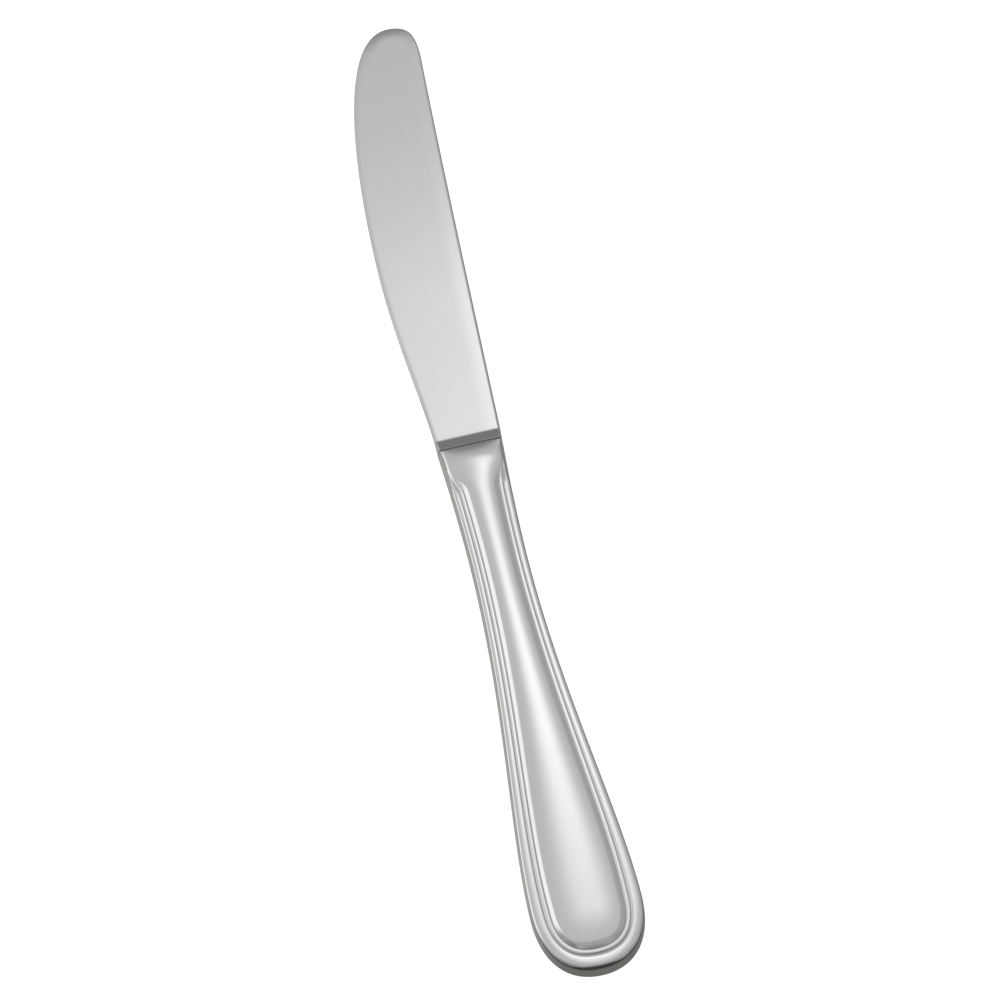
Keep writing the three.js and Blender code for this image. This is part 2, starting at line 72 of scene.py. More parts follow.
crest = handle_high.z / MM / 2
butt_end = Vector((0, handle_low.y / MM, crest))
handle_length = (handle_high.y - handle_low.y) / MM
butt_half_width = handle_high.x / MM
bolster_back = solder_high.y / MM - butt_end.y
tip_at = blade_high.y / MM - butt_end.y
tang_end = blade_low.y / MM - butt_end.y


def to_frame(points):
    """Millimetres from the end of the butt to metres in the shared frame: shift, then scale."""
    return (points + np.array(butt_end)) * MM


print(f"handle {handle_length:.1f} mm long, blade and handle {tip_at:.1f} mm, crest {crest:.2f} mm")

# %% [markdown]
# ## Curves
#
# Every outline of the knife is a chain of cubic Bezier curves, as in a drawing program. They could be
# Blender curves, but the ribs below need plain points. A Bezier curve is a weighted mean of four points,
# so numpy can work out all its points at once.

# %% Curve helpers
def lerp(start, end, share):
    """The value that lies at this share of the way from start to end."""
    return start + (end - start) * share


def smoothstep(value, low, high):
    """0 below low, 1 above high, and 3s^2 - 2s^3 between them, which starts and ends level."""
    share = np.clip((value - low) / (high - low), 0, 1)
    return share * share * (3 - 2 * share)


def steps(count):
    """Even shares of a way, from its first step to its end: 1/n, 2/n and so on up to 1."""
    return np.linspace(0, 1, count + 1)[1:]


def curve(start, end, first_pull, second_pull):
    """The four points of a curve, whose handles lie at given shares, across and along, of its way."""
    pulls = np.array((first_pull, second_pull))
    return (start, *lerp(np.array(start), np.array(end), pulls), end)


def bezier(points, t):
    """Cubic Bezier curve: the four points weighted by (1-t)^3, 3t(1-t)^2, 3t^2(1-t) and t^3."""
    t = np.asarray(t)[:, None]
    weights = ((1 - t) ** 3, 3 * t * (1 - t) ** 2, 3 * t**2 * (1 - t), t**3)
    return sum(weight * np.array(point) for weight, point in zip(weights, points))


# %% [markdown]
# ## Outline of the handle
#
# Seen from above, the handle flares a little at its mouth, is narrowest at a waist, swells towards the
# butt and ends in a full round. It could be traced point by point, but three Bezier curves with a few
# named sizes run smoother and are easy to change. They give one side, and the other is its mirror image.
# The path runs from the mouth down the spine side, round the butt and back up the edge side.

# %% Handle outline
BUTT_WIDEST_AT = 15.8
BUTT_FULLNESS = 0.63
WAIST_HALF_WIDTH = 6.66
WAIST_FROM_MOUTH = 28.4
MOUTH_HALF_WIDTH = 7.65
TAPER_PULL_AT_BUTT = 0.24
TAPER_PULL_AT_WAIST = 0.42
FLARE_PULL = 0.34
FLARE_SLOPE = 0.06
MOUTH_RIBS, NECK_RIBS, TAPER_RIBS, BUTT_RIBS = 6, 120, 70, 50
MOUTH_STRETCH = 0.012  # share of the neck with close ribs, for the broken edge of the mouth

waist_at = handle_length - WAIST_FROM_MOUTH
flare_pull = WAIST_FROM_MOUTH * FLARE_PULL
waist = (WAIST_HALF_WIDTH, waist_at)
widest = (butt_half_width, BUTT_WIDEST_AT)
neck_curve = (
    (MOUTH_HALF_WIDTH, handle_length),
    (MOUTH_HALF_WIDTH - FLARE_SLOPE * flare_pull, handle_length - flare_pull),
    (WAIST_HALF_WIDTH, waist_at + flare_pull),
    waist,
)
taper_curve = curve(waist, widest, (0, TAPER_PULL_AT_WAIST), (1, 1 - TAPER_PULL_AT_BUTT))
butt_curve = curve(widest, (0, 0), (0, BUTT_FULLNESS), (1 - BUTT_FULLNESS, 1))

mouth_steps = np.linspace(0, MOUTH_STRETCH, MOUTH_RIBS + 1)[:-1]
neck_steps = np.concatenate([mouth_steps, np.linspace(MOUTH_STRETCH, 1, NECK_RIBS)])
one_side = np.concatenate(
    [
        bezier(neck_curve, neck_steps),
        bezier(taper_curve, steps(TAPER_RIBS)),
        bezier(butt_curve, steps(BUTT_RIBS)),
    ]
)
outline = np.concatenate([one_side, (one_side * (-1, 1))[-2::-1]])
print("outline of the handle:", len(outline), "points")

# %% [markdown]
# ## Ribs of the handle
#
# A pressed shell could be sculpted, but its border follows the outline at a fixed distance, so it is
# simpler to think of ribs. A rib starts on the outline and runs straight in to the middle line of the
# handle. Around the butt all ribs end at one point. Whatever changes along the handle, such as the
# width of the beads or the shape of the crown, is one number for each rib. At the mouth the sharp
# edge is broken by a small round, as a maker does with a file.

# %% Ribs
MOUTH_ROUND = 0.15  # radius of the broken edge at the mouth


def broken_edge(distance):
    """How far a quarter circle of the mouth's radius has fallen, this close to the mouth."""
    share = np.clip(1 - distance / MOUTH_ROUND, 0, 1)
    return MOUTH_ROUND * (1 - np.sqrt(1 - share**2))


edge_x, edge_y = outline.T[:, :, None]
to_mouth = handle_length - edge_y
mouth_fallen = broken_edge(to_mouth)
edge_x = edge_x - np.sign(edge_x) * mouth_fallen
middle_y = np.maximum(edge_y, BUTT_WIDEST_AT)
rib_length = np.hypot(edge_x, middle_y - edge_y)
inward_x, inward_y = -edge_x / rib_length, (middle_y - edge_y) / rib_length

along_taper = np.clip((edge_y - BUTT_WIDEST_AT) / (waist_at - BUTT_WIDEST_AT), 0, 1)
along_end = np.where(edge_y < BUTT_WIDEST_AT, 1 - (edge_x / butt_half_width) ** 2, 0)
print(f"ribs: {len(edge_y)}, from {rib_length.min():.1f} to {rib_length.max():.1f} mm long")

# %% [markdown]
# ## Threads along the border
#
# A broad outer bead and a thin inner one follow the outline. Such threads are a traditional border, and
# they are pressed together with the shell. Bevelled curves could be laid on the shell instead, but here
# the threads belong to its section, so that shell and threads are one skin. They are widest round the butt
# and slim down to the waist. Near the mouth they swing out to the side in a quarter round and die away.
# Each number below is mixed from its values at the end of the butt, at its side and at the waist.

# %% Numbers of the border
BEAD_HEIGHT_AT_SIDE, BEAD_HEIGHT_AT_WAIST = 3.5, 3.72
OUTER_BEAD_AT_END, OUTER_BEAD_AT_SIDE, OUTER_BEAD_AT_WAIST = 4.35, 3.1, 1.95
INNER_BEAD_AT_END, INNER_BEAD_AT_SIDE, INNER_BEAD_AT_WAIST = 1.1, 1.25, 1.05
BEAD_TOP_AT_END, BEAD_TOP_AT_SIDE = 0.54, 0.74
BEAD_CAMBER_AT_END, BEAD_CAMBER_AT_SIDE = 1.2, 0.3
BEAD_CORNER_AT_END, BEAD_CORNER_AT_SIDE = 0.05, 0.5
WALL_TILT_AT_END, WALL_TILT_AT_SIDE = math.radians(68.5), math.radians(84)
PANEL_ROLL_AT_END, PANEL_ROLL_AT_SIDE = 1.55, 1.2
ROLL_POWER_AT_END, ROLL_POWER_AT_SIDE = 1.15, 1.5
THREADS_FROM_MOUTH = 6.3
RUNOUT_LENGTH, LEAST_SWING = 5.5, 0.62
DYING_FROM, DYING_TO = 0.1, 0.95  # shares of the runout between which the threads die away

runout_start = handle_length - THREADS_FROM_MOUTH - RUNOUT_LENGTH
runout = np.clip((edge_y - runout_start) / RUNOUT_LENGTH, 0, 1)
swing = np.maximum(np.sqrt(1 - runout**2), LEAST_SWING)
dying = smoothstep(runout, DYING_FROM, DYING_TO)
narrowing = 1 - (1 - along_taper) ** 2

outer_bead = lerp(OUTER_BEAD_AT_SIDE, OUTER_BEAD_AT_WAIST, narrowing)
outer_bead = lerp(outer_bead, OUTER_BEAD_AT_END, along_end) * swing
inner_bead = lerp(INNER_BEAD_AT_SIDE, INNER_BEAD_AT_WAIST, along_taper)
inner_bead = lerp(inner_bead, INNER_BEAD_AT_END, along_end) * swing
bead_top = outer_bead * lerp(BEAD_TOP_AT_SIDE, BEAD_TOP_AT_END, along_end)
bead_height = lerp(BEAD_HEIGHT_AT_SIDE, BEAD_HEIGHT_AT_WAIST, along_taper)
bead_camber = lerp(BEAD_CAMBER_AT_SIDE, BEAD_CAMBER_AT_END, along_end)
bead_corner = lerp(BEAD_CORNER_AT_SIDE, BEAD_CORNER_AT_END, along_end)
wall_tilt = lerp(WALL_TILT_AT_SIDE, WALL_TILT_AT_END, along_end)
panel_roll = lerp(PANEL_ROLL_AT_SIDE, PANEL_ROLL_AT_END, along_end)
roll_power = lerp(ROLL_POWER_AT_SIDE, ROLL_POWER_AT_END, along_end)
print(f"outer bead {outer_bead.min():.1f} to {outer_bead.max():.1f} mm wide")

# %% [markdown]
# ## Crown and neck
#
# Between the threads the handle is a crowned panel, an oval when cut across. Towards the mouth the oval
# grows square, because the neck has to meet the square bolster: its walls lean only a little, its top is
# nearly flat, and it falls slowly and then dips like a nose. That dip ends the long highlight softly.
# A few drawn sections could be bridged instead, but powers that change from rib to rib take fewer numbers.

# %% Numbers of the crown and the neck
CROWN_POWER_AT_END, CROWN_POWER_AT_BUTT, CROWN_POWER_AT_WAIST = 3.1, 2.31, 2.04
SQUARE_NECK_LENGTH, SQUARE_MOUTH_LENGTH = 13.5, 3.3
NECK_FALL, NECK_FALL_LENGTH, NECK_FALL_POWER = 0.075, 10.0, 2
NOSE_DIP, NOSE_LENGTH, NOSE_POWER = 0.135, 4.2, 3.4
NECK_CAMBER, MOUTH_CAMBER = 0.2, 0.04
NECK_WALL_TILT, MOUTH_WALL_TILT = math.radians(80), math.radians(86)
STEEPENING_LENGTH, STEEPENING_POWER = 2.0, 2  # the walls of the neck grow steeper close to the mouth


def nearing(length, power):
    """Grows from 0 at a length from the mouth to 1 at the mouth, as (1 - distance / length)^power."""
    return np.clip(1 - to_mouth / length, 0, 1) ** power


crown_power = lerp(CROWN_POWER_AT_BUTT, CROWN_POWER_AT_WAIST, along_taper)
crown_power = lerp(crown_power, CROWN_POWER_AT_END, along_end)
squaring = 1 - smoothstep(to_mouth, SQUARE_MOUTH_LENGTH, SQUARE_NECK_LENGTH)
dipping = nearing(NOSE_LENGTH, NOSE_POWER)
nose = 1 - NECK_FALL * nearing(NECK_FALL_LENGTH, NECK_FALL_POWER) - NOSE_DIP * dipping
neck_camber = lerp(NECK_CAMBER, MOUTH_CAMBER, dipping)
neck_tilt = lerp(NECK_WALL_TILT, MOUTH_WALL_TILT, nearing(STEEPENING_LENGTH, STEEPENING_POWER))
print(f"the mouth stands {crest * nose[0, 0]:.2f} mm above the seam, the crest {crest:.2f} mm")

# %% [markdown]
# ## Section of the handle
#
# Cut across, half a handle shows a steep wall at the seam, a corner where the wall rounds over into the
# outer bead, a groove, a thin inner bead, a second groove, and then a panel that rolls up to a low crown.
# In a workshop the press tool gives all of this in one stroke. Here each stretch is one formula over the
# distance in from the outline, and the columns of the grid are bunched where the surface turns fast.
# Where the threads die away, the threaded height is mixed with the plain height of the crown.

# %% Columns of the grid
RIM_HEIGHT = 0.1  # the braze between the two rims is twice this thick

zero = np.zeros_like(rib_length)
wall_top = (bead_height - bead_camber - bead_corner - RIM_HEIGHT) / np.tan(wall_tilt)
panel_start = outer_bead + inner_bead
roll_end = panel_start + panel_roll
# Each stretch of a rib: where it starts, where it ends and how many columns it takes
stretches = (
    (zero, wall_top, 5),
    (wall_top, bead_top, 15),
    (bead_top, outer_bead, 9),
    (outer_bead, panel_start, 12),
    (panel_start, roll_end, 16),
    (roll_end, rib_length, 16),
)
columns = [lerp(start, end, steps(count)) for start, end, count in stretches]
inset = np.concatenate([zero, *columns], axis=1)
print("columns from the seam to the middle line:", inset.shape[1])

# %% Height of the handle above the seam
GROOVE_DEPTH = 0.22
BEAD_POWER = 4  # higher is flatter on top and steeper on the sides
BEAD_CAMBER_POWER = 2.2
BEAD_CORNER_POWER = 8  # higher is a tighter corner between the wall and the outer bead
NECK_CORNER_POWER = 4  # the same between the wall and the top of the neck
SQUARE_BORDER_FROM, SQUARE_BORDER_TO = 0.6, 2.2  # the border is square all along the neck
TINY = 1e-9


def square_section(inset, share, camber, tilt):
    """The lesser of a leaning wall w and a cambered top t = 1 - c s^2, rounded: (w^-p + t^-p)^(-1/p)."""
    wall = inset * np.tan(tilt) / crest
    top = 1 - camber * share**2
    return wall * top / (wall**NECK_CORNER_POWER + top**NECK_CORNER_POWER) ** (1 / NECK_CORNER_POWER)


def crown_height(inset):
    """Oval (1 - s^p)^(1/p), with s from 1 on the outline to 0 inside, mixed with the square section."""
    share = np.clip(1 - inset / rib_length, 0, 1)
    oval = (1 - share**crown_power) ** (1 / crown_power)
    squareness = np.maximum(squaring, 1 - smoothstep(inset, SQUARE_BORDER_FROM, SQUARE_BORDER_TO))
    return crest * lerp(oval, square_section(inset, share, neck_camber, neck_tilt), squareness)


def threaded_height(inset):
    """Sloped wall, then beads that fall by a power of the distance from their tops, then the panel."""
    wall = RIM_HEIGHT + inset * np.tan(wall_tilt)
    to_top = np.clip((bead_top - inset) / (bead_top - wall_top), 0, 1)
    past_top = np.clip((inset - bead_top) / (outer_bead - bead_top), 0, 1)
    from_middle = np.abs(2 * (inset - outer_bead) / inner_bead - 1)
    bead_fallen = bead_camber * to_top**BEAD_CAMBER_POWER + bead_corner * to_top**BEAD_CORNER_POWER
    outer_rise = bead_height - bead_fallen
    outer_side = bead_height - GROOVE_DEPTH * past_top**BEAD_POWER
    inner_side = bead_height - GROOVE_DEPTH * from_middle**BEAD_POWER
    step = crown_height(panel_start) - bead_height + GROOVE_DEPTH
    roll_left = np.clip(1 - (inset - panel_start) / panel_roll, 0, 1)
    panel = crown_height(inset) - step * roll_left**roll_power
    ends = (wall_top, bead_top, outer_bead, panel_start)
    heights = [wall, outer_rise, outer_side, inner_side]
    return np.select([inset <= end + TINY for end in ends], heights, panel)


outside = nose * lerp(threaded_height(inset), crown_height(inset), dying) - mouth_fallen
outside = np.maximum(outside, RIM_HEIGHT)
print(f"beads stand {bead_height.min():.1f} to {bead_height.max():.1f} mm above the seam")

# %% [markdown]
# ## Inside of the shells
#
# The shells are hollow, with a wall of 0.8 mm. A Solidify modifier could give the wall, but the inside
# can't be seen, so it only follows the main form: a rim, a shelf under the threads and a plain vault under
# the panel. Eight points on each rib are joined by straight lines, with as many columns as the outside, so
# that both can be zipped together at the mouth.

# %% Inside of a shell
WALL = 0.8
LAND_SHARE = 0.15  # share of a rib that lies under the flat land on the crest
SHELF_PAST_THREADS = 0.32
RISE_SHARE = 0.7  # the inside follows the wall up to this share of the shelf's height
SHELF_SHARE = 0.35  # the shelf starts at this share of the way from the rim to its end
VAULT_SHARE = 0.7  # the vault starts at most at this share of the way from the shelf to the land

rim = WALL / np.sin(wall_tilt)
shelf = bead_height - GROOVE_DEPTH - WALL
shelf_end = panel_start + SHELF_PAST_THREADS
land = rib_length * (1 - LAND_SHARE)
vault = np.minimum(roll_end + WALL, lerp(shelf_end, land, VAULT_SHARE))
half_way = (vault + land) / 2
vault_line = [
    (rim, zero),
    (rim + shelf * RISE_SHARE / np.tan(wall_tilt), shelf * RISE_SHARE),
    (lerp(rim, shelf_end, SHELF_SHARE), shelf),
    (shelf_end, shelf),
    (vault, crown_height(vault) - WALL),
    (half_way, crown_height(half_way) - WALL),
    (land, zero + crest - WALL),
    (rib_length, zero + crest - WALL),
]
turning_points = np.stack([np.concatenate(pair, axis=1) for pair in vault_line], axis=1)
along_line = np.linspace(0, len(vault_line) - 1, inset.shape[1])
before = np.minimum(along_line.astype(int), len(vault_line) - 2)
past = (along_line - before)[None, :, None]
inside_line = lerp(turning_points[:, before], turning_points[:, before + 1], past)
inside_inset, inside = np.moveaxis(inside_line, 2, 0)
inside = np.maximum(inside * nose, RIM_HEIGHT)
print(f"least wall {np.min(outside[:, -1] - inside[:, -1]):.2f} mm on the middle line, at the broken edge")

# %% [markdown]
# ## From grids to closed meshes
#
# A grid of points becomes a mesh when neighbouring points are joined by four-sided faces. Numpy makes the
# whole table of faces from the table of point numbers. Points that fall on each other, such as the ends of
# opposite ribs on the middle line, are merged afterwards, which closes the surface. An edge is faulty if it
# is open, or if its two faces are turned in different ways, so their number has to be 0.

# %% Mesh helpers
SHARP_ANGLE = math.radians(38)
MERGE_DISTANCE = 1e-8


def grid_faces(number):
    """Faces between neighbouring rows and columns of a table of point numbers, all turned alike."""
    corners = (number[:-1, :-1], number[:-1, 1:], number[1:, 1:], number[1:, :-1])
    return np.stack(corners, axis=-1).reshape(-1, 4)


def strip_faces(first, second):
    """Faces between two lines of point numbers of the same length."""
    return grid_faces(np.stack([first, second]))


def make_piece(name, points, faces, **attributes):
    """A smooth closed mesh in the shared frame, with its doubles merged and its sharp edges marked."""
    mesh = bpy.data.meshes.new(name)
    mesh.from_pydata(to_frame(points), [], np.concatenate(faces).tolist())
    for label, values in attributes.items():
        mesh.attributes.new(label, "FLOAT", "POINT").data.foreach_set("value", values.ravel())
    welded = bmesh.new()
    welded.from_mesh(mesh)
    bmesh.ops.remove_doubles(welded, verts=welded.verts, dist=MERGE_DISTANCE)
    faulty = sum(not edge.is_contiguous for edge in welded.edges)
    volume = welded.calc_volume(signed=True) / MM**3
    welded.to_mesh(mesh)
    welded.free()
    mesh.polygons.foreach_set("use_smooth", np.ones(len(mesh.polygons), bool))
    mesh.set_sharp_from_angle(angle=SHARP_ANGLE)
    piece = bpy.data.objects.new(name, mesh)
    bpy.context.scene.collection.objects.link(piece)
    print(f"{name}: {len(mesh.polygons)} faces, {faulty} faulty edges, {volume:.0f} cubic mm")
    return piece


# %% [markdown]
# ## The two shells
#
# Both halves come from the same press tool: the back shell is the front shell turned half a turn about
# the knife's long axis. A half turn leaves all faces turned outwards, where mirrored points would turn
# them inside out. Each shell is a closed skin made of the outside, the inside, the flat rim that is brazed
# to the other half, and the end face at the mouth. A number stored on every point says how deep it lies in
# a groove, so that the finish can keep some dullness there and paint shade into the grooves.

# %% Shells
# width of the bell over each groove, where the steel is duller and painted shade darkens its colour
GROOVE_DULL_AND_SHADE_WIDTH = 0.16


def rib_points(inset, height):
    """Points on all ribs: the outline moved in by the inset, at the given height."""
    return np.stack([edge_x + inward_x * inset, edge_y + inward_y * inset, height], axis=-1)


def groove_depth(middle):
    """A bell curve over a groove: exp(-d^2), with d the distance from its middle in dull widths."""
    return np.exp(-(((inset - middle) / GROOVE_DULL_AND_SHADE_WIDTH) ** 2))


outer = np.arange(outside.size).reshape(outside.shape)
inner = outer + outside.size
shell_faces = [
    grid_faces(outer),
    grid_faces(inner)[:, ::-1],
    strip_faces(outer[:, 0], inner[:, 0]),
    strip_faces(inner[0], outer[0]),
    strip_faces(outer[-1], inner[-1]),
]
# how deep a point lies in a groove: it sets the dullness there and the painted shade in the grooves
both_grooves = groove_depth(outer_bead) + groove_depth(panel_start)
groove = np.concatenate([both_grooves * (1 - dying), 0 * inside])

shell_skins = [rib_points(inset, outside), rib_points(inside_inset, inside)]
shell_points = np.concatenate(shell_skins).reshape(-1, 3)
half_turn = np.array((-1, 1, -1))
front_shell = make_piece("front_shell_polished", shell_points, shell_faces, groove=groove)
back_shell = make_piece("back_shell_polished", shell_points * half_turn, shell_faces, groove=groove)

# %% [markdown]
# ## Outline of the blade
#
# Blade, bolster and tang are one forging. The blade has a spine that is nearly straight, a round end, and
# a cutting edge with a long belly. Below the round end each place along the blade is given by one number,
# the distance from the butt, so spine and edge are read off their curves at the same distances. Round the
# end the ribs fan out from one point, as they do at the butt of the handle.

# %% Blade outline
BOLSTER_LENGTH = 2.9
HEEL_TO_EDGE, HEEL_TO_SPINE = 7.65, 7.85
BELLY_TO_EDGE, BELLY_AT = 10.8, 44.0
TIP_TO_SPINE, TIP_CORNER, TIP_OFFSET = 11.45, 8.6, 5.2
# Handles of the curves, as shares across and along of the way from start to end
SPINE_PULLS = ((0.29, 0.33), (0.63, 0.74))
CORNER_PULLS = ((0, 0.6), (0.1, 1))
BELLY_PULLS = ((0, 0.49), (0.27, 1))
HEEL_PULLS = ((0.11, 0.25), (1, 0.61))
CURVE_SAMPLES = 4001

heel_at = bolster_back + BOLSTER_LENGTH
corner_at = tip_at - TIP_CORNER
belly = (-BELLY_TO_EDGE, heel_at + BELLY_AT)
corner = (TIP_TO_SPINE, corner_at)
tip = (TIP_OFFSET, tip_at)
spine_curve = curve((HEEL_TO_SPINE, heel_at), corner, *SPINE_PULLS)
corner_curve = curve(corner, tip, *CORNER_PULLS)
belly_curve = curve(belly, tip, *BELLY_PULLS)
heel_curve = curve((-HEEL_TO_EDGE, heel_at), belly, *HEEL_PULLS)

fine = np.linspace(0, 1, CURVE_SAMPLES)
spine_line = bezier(spine_curve, fine)
belly_line = bezier(belly_curve, fine)
edge_line = np.concatenate([bezier(heel_curve, fine)[:-1], belly_line])
print(f"blade {tip_at - heel_at:.1f} mm long, {np.ptp(edge_line[:, 0]):.1f} mm from belly to tip")

# %% [markdown]
# ## The forging, rib by rib
#
# The ribs of the forging run from its border in to its middle line, first along the tang with its three
# pairs of notches, then up the step behind the bolster, down the slope of the bolster and along the blade.
# At the step two ribs lie at the same place, one as wide as the tang and one as wide as the mouth.

# %% Ribs of the tang and the bolster
TANG_HALF_WIDTH, TANG_END_HALF_WIDTH = 3.4, 2.4
NOTCH_RADIUS, NOTCH_SPACING, NOTCH_PAIRS = 0.9, 13.0, 3
TANG_RIBS, BACK_RIBS, SLOPE_RIBS = 170, 7, 30
BACK_STRETCH, SLOPE_START = 0.05, 0.08  # shares of the bolster: close ribs for its broken edge, then wider

tang_y = np.linspace(tang_end, bolster_back, TANG_RIBS)
tang_half = lerp(TANG_END_HALF_WIDTH, TANG_HALF_WIDTH, (tang_y - tang_end) / np.ptp(tang_y))
notch_at = tang_end + NOTCH_SPACING * np.arange(1, NOTCH_PAIRS + 1)[:, None]
tang_half = tang_half - np.sqrt(np.clip(NOTCH_RADIUS**2 - (tang_y - notch_at) ** 2, 0, None)).sum(0)

bolster_share = np.concatenate(
    [np.linspace(0, BACK_STRETCH, BACK_RIBS), np.linspace(SLOPE_START, 1, SLOPE_RIBS)]
)
bolster_y = lerp(bolster_back, heel_at, bolster_share)
bolster_fallen = broken_edge(bolster_y - bolster_back)
bolster_spine = lerp(MOUTH_HALF_WIDTH, HEEL_TO_SPINE, bolster_share) - bolster_fallen
bolster_edge = bolster_fallen - lerp(MOUTH_HALF_WIDTH, HEEL_TO_EDGE, bolster_share)
print(f"tang {np.ptp(tang_y):.1f} mm long, at least {2 * tang_half.min():.1f} mm wide in its notches")

# %% Ribs of the blade
FOOT_LENGTH = 2.0  # close ribs at the foot of the bolster
FOOT_RIBS, BLADE_RIBS, FAN_RIBS = 12, 79, 44

foot_y = heel_at + FOOT_LENGTH * steps(FOOT_RIBS)
blade_y = np.concatenate([foot_y, lerp(heel_at + FOOT_LENGTH, corner_at, steps(BLADE_RIBS))])
blade_spine = np.interp(blade_y, spine_line[:, 1], spine_line[:, 0])
blade_edge = np.interp(blade_y, edge_line[:, 1], edge_line[:, 0])

spine_fan = bezier(corner_curve, steps(FAN_RIBS))
fan_start = np.interp(corner_at, belly_line[:, 1], fine)
edge_fan = bezier(belly_curve, lerp(fan_start, 1, steps(FAN_RIBS)))
print("ribs round the tip:", 2 * FAN_RIBS - 1)

# %% Border and middle line of the forging
straight_y = np.concatenate([tang_y, bolster_y, blade_y])
straight_spine = np.concatenate([tang_half, bolster_spine, blade_spine])
straight_edge = np.concatenate([-tang_half, bolster_edge, blade_edge])
straight_middle = (straight_spine + straight_edge) / 2
fan_middle = np.full(FAN_RIBS, straight_middle[-1])
fan_middle_y = np.full(FAN_RIBS, corner_at)

border = np.concatenate(
    [
        np.stack([straight_spine, straight_y], axis=1),
        spine_fan,
        edge_fan[-2::-1],
        np.stack([straight_edge, straight_y], axis=1)[::-1],
    ]
)
one_way = np.stack(
    [np.concatenate([straight_middle, fan_middle]), np.concatenate([straight_y, fan_middle_y])], axis=1
)
middle = np.concatenate([one_way, one_way[-2::-1]])
is_tang = np.zeros(len(border), bool)
is_tang[:TANG_RIBS] = True
is_tang[-TANG_RIBS:] = True
print("ribs of the forging:", len(border))

# %% [markdown]
# ## Section of the forging
#
# The tang is a flat bar. The bolster starts with the section of the handle's mouth and slopes down to the
# flank of the blade in a small fillet. The flank is a plane that thins from spine to edge and from
# heel to tip. A maker finishes it on a wheel, which pulls the last few millimetres before the border
# down a little: that soft shoulder catches the light along the spine.

# %% Shoulder along the border
# Width and drop of the soft shoulder before the border, and radius of the border itself
SPINE_SHOULDER = np.array((4.2, 0.115, 0.7))
EDGE_SHOULDER = np.array((0.9, 0.12, 0.12))
TIP_SHOULDER = np.array((3.1, 0.52, 0.3))
TIP_STRETCH = 5.0
FORGING_COLUMNS, COLUMN_BUNCHING = 34, 2.2  # higher bunches the columns closer to the border

towards_edge = smoothstep(TIP_OFFSET - border[:, :1], 0, TIP_OFFSET + HEEL_TO_EDGE)
towards_tip = smoothstep(border[:, 1:], tip_at - TIP_STRETCH, tip_at)
shoulder = lerp(lerp(SPINE_SHOULDER, EDGE_SHOULDER, towards_edge), TIP_SHOULDER, towards_tip)
shoulder_width, shoulder_drop, border_round = shoulder.T[:, :, None]

column_share = np.linspace(0, 1, FORGING_COLUMNS) ** COLUMN_BUNCHING
reach = np.linalg.norm(middle - border, axis=1)[:, None]
border_inset = reach * column_share
forging_xy = border[:, None] + (middle - border)[:, None] * column_share[None, :, None]
forging_x, forging_y = np.moveaxis(forging_xy, 2, 0)
print(f"the forging reaches {reach.max():.1f} mm from its border to its middle line at most")

# %% Height of the forging
TANG_HALF_THICKNESS, TANG_ROUND = 1.2, 0.3
SPINE_HALF_THICKNESS, EDGE_HALF_THICKNESS, TIP_HALF_THICKNESS = 1.15, 1.05, 0.8
LEAST_HALF_THICKNESS = 0.12
MOST_DROP = 0.7  # the shoulder takes at most this share of the thickness
FOOT_FILLET = 0.04


def quarter_round(inset, radius):
    """Rises from 0 at the border to 1 at the radius, as a quarter circle does."""
    return np.sqrt(1 - (1 - np.clip(inset / radius, 0, 1)) ** 2)


def flank_height(x, y, inset):
    """A plane, less a soft shoulder near the border, times a quarter round at the border itself."""
    across = (SPINE_HALF_THICKNESS - EDGE_HALF_THICKNESS) / (HEEL_TO_SPINE + HEEL_TO_EDGE)
    at_axis = SPINE_HALF_THICKNESS - across * HEEL_TO_SPINE
    along = (TIP_HALF_THICKNESS - at_axis - across * TIP_OFFSET) / (tip_at - heel_at)
    plane = np.maximum(at_axis + across * x + along * (y - heel_at), LEAST_HALF_THICKNESS)
    drop = np.minimum(shoulder_drop, plane * MOST_DROP)
    dropped = drop * (1 - np.clip(inset / shoulder_width, 0, 1)) ** 2
    return (plane - dropped) * quarter_round(inset, border_round)


def bolster_height(y, inset):
    """Section of the mouth, lowered along a straight slope that runs out in a fillet at its foot."""
    share = np.clip(1 - inset / reach, 0, 1)
    mouth = crest * nose[0] * square_section(inset, share, MOUTH_CAMBER, MOUTH_WALL_TILT)
    slope_left = 1 - (y - bolster_back) / BOLSTER_LENGTH
    run_out = (slope_left + np.sqrt(slope_left**2 + FOOT_FILLET**2)) / 2
    return (mouth - broken_edge(y - bolster_back)) * run_out


flank = flank_height(forging_x, forging_y, border_inset)
slope = bolster_height(forging_y, border_inset)
bar = TANG_HALF_THICKNESS * quarter_round(border_inset, TANG_ROUND)
slope_share = np.clip(slope / crest, 0, 1)
on_blade = np.maximum(flank, slope + flank * (1 - slope_share))
forging_height = np.where(is_tang[:, None], bar, on_blade)
forging_height[:, 0] = 0
print(f"bolster {forging_height[~is_tang].max():.2f} mm high, blade {flank[~is_tang].max():.2f} mm at most")

# %% [markdown]
# ## Blade, bolster and tang as one mesh
#
# The forging is alike on both sides, so its lower skin is the upper skin mirrored in the plane of the seam
# and turned inside out. Both meet on the border, and a small cap closes the end of the tang. A number
# stored on every point says how close it lies to the border, where use wears the satin smooth.

# %% Forging
WEAR_WIDTH = 0.5

upper_points = np.concatenate([forging_xy, forging_height[..., None]], axis=2)
lower_points = upper_points * (1, 1, -1)
upper = np.arange(forging_height.size).reshape(forging_height.shape)
lower = upper + forging_height.size
forging_faces = [
    grid_faces(upper)[:, ::-1],
    grid_faces(lower),
    strip_faces(upper[0], lower[0]),
    strip_faces(lower[-1], upper[-1]),
]
edge_wear = np.exp(-((border_inset / WEAR_WIDTH) ** 2)) * ~is_tang[:, None]
forging = make_piece(
    "blade_forging",
    np.concatenate([upper_points, lower_points]).reshape(-1, 3),
    forging_faces,
    edge_wear=np.concatenate([edge_wear, edge_wear]),
)
